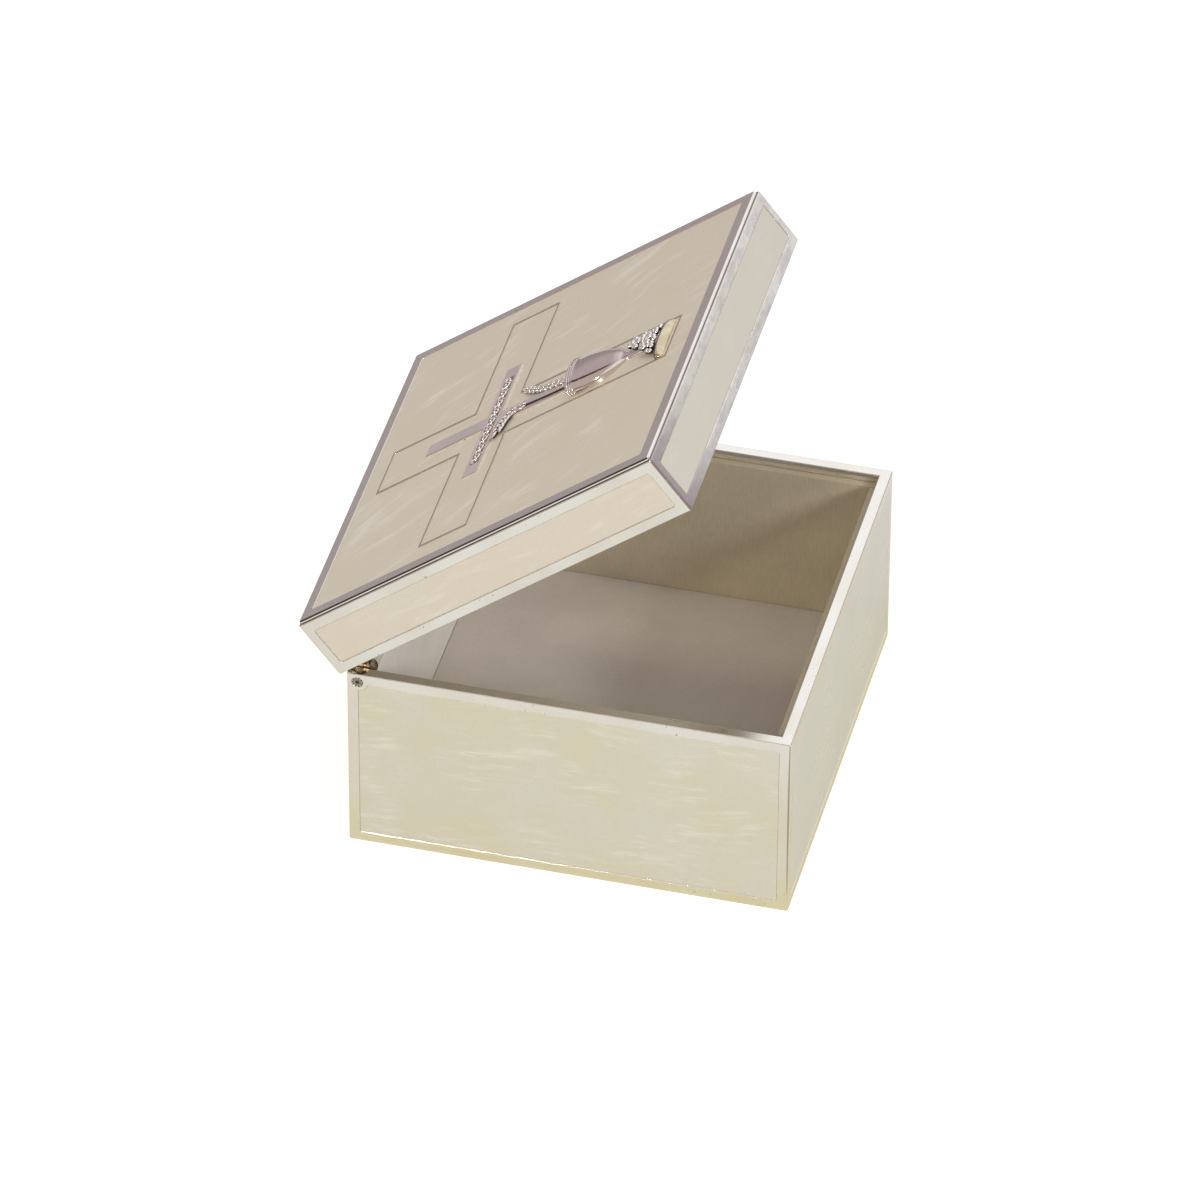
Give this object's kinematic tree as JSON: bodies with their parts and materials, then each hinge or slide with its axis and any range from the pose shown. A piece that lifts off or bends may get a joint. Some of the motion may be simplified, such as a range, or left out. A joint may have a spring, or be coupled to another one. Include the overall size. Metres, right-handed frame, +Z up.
{
  "type": "rosary box",
  "caption": "Square metal keepsake box with pearl enamel panels, fabric lining and a hinged lid that carries a cross and chalice in relief.",
  "frame": {"origin": "centre of the felt pad's underside, where the box rests", "axes": "+Z up, -Y to the front, the hinge along X at the back (+Y); the lid is stored open"},
  "size_m": [0.089, 0.0986, 0.1069],
  "materials": {
    "silver_plate": "polished",
    "relief_metal": "polished",
    "pearl_enamel": "gloss",
    "hinge_brass": "satin",
    "pin_steel": "satin",
    "floor_fabric": "matte",
    "lining_fabric": "matte",
    "base_felt": "matte"
  },
  "bodies": {
    "base": {"base_shell": "silver_plate", "base_felt_pad": "base_felt", "base_enamel_front": "pearl_enamel", "base_enamel_back": "pearl_enamel", "base_enamel_left": "pearl_enamel", "base_enamel_right": "pearl_enamel", "base_lining_floor": "floor_fabric", "base_lining_front": "lining_fabric", "base_lining_back": "lining_fabric", "base_lining_left": "lining_fabric", "base_lining_right": "lining_fabric", "hinge_pin_left": "pin_steel", "hinge_pin_right": "pin_steel"},
    "lid": {"lid_shell": "silver_plate", "lid_top_plate": "silver_plate", "lid_enamel_field": "pearl_enamel", "lid_enamel_cross": "pearl_enamel", "lid_enamel_front": "pearl_enamel", "lid_enamel_back": "pearl_enamel", "lid_enamel_left": "pearl_enamel", "lid_enamel_right": "pearl_enamel", "cross_emblem": "relief_metal", "chalice": "relief_metal", "grape_cluster": "relief_metal", "wheat_ear_left": "relief_metal", "wheat_ear_right": "relief_metal", "hinge_lug_left": "hinge_brass", "hinge_lug_right": "hinge_brass", "lid_lining_top": "lining_fabric", "lid_lining_front": "lining_fabric", "lid_lining_back": "lining_fabric", "lid_lining_left": "lining_fabric", "lid_lining_right": "lining_fabric"}
  },
  "joints": [
    {"name": "lid_hinge", "type": "hinge", "parent": "base", "child": "lid", "pos_m": [0, 0.04235, 0.04045], "axis": [-1, 0, 0], "range_deg": [-38.59, 67]}
  ]
}
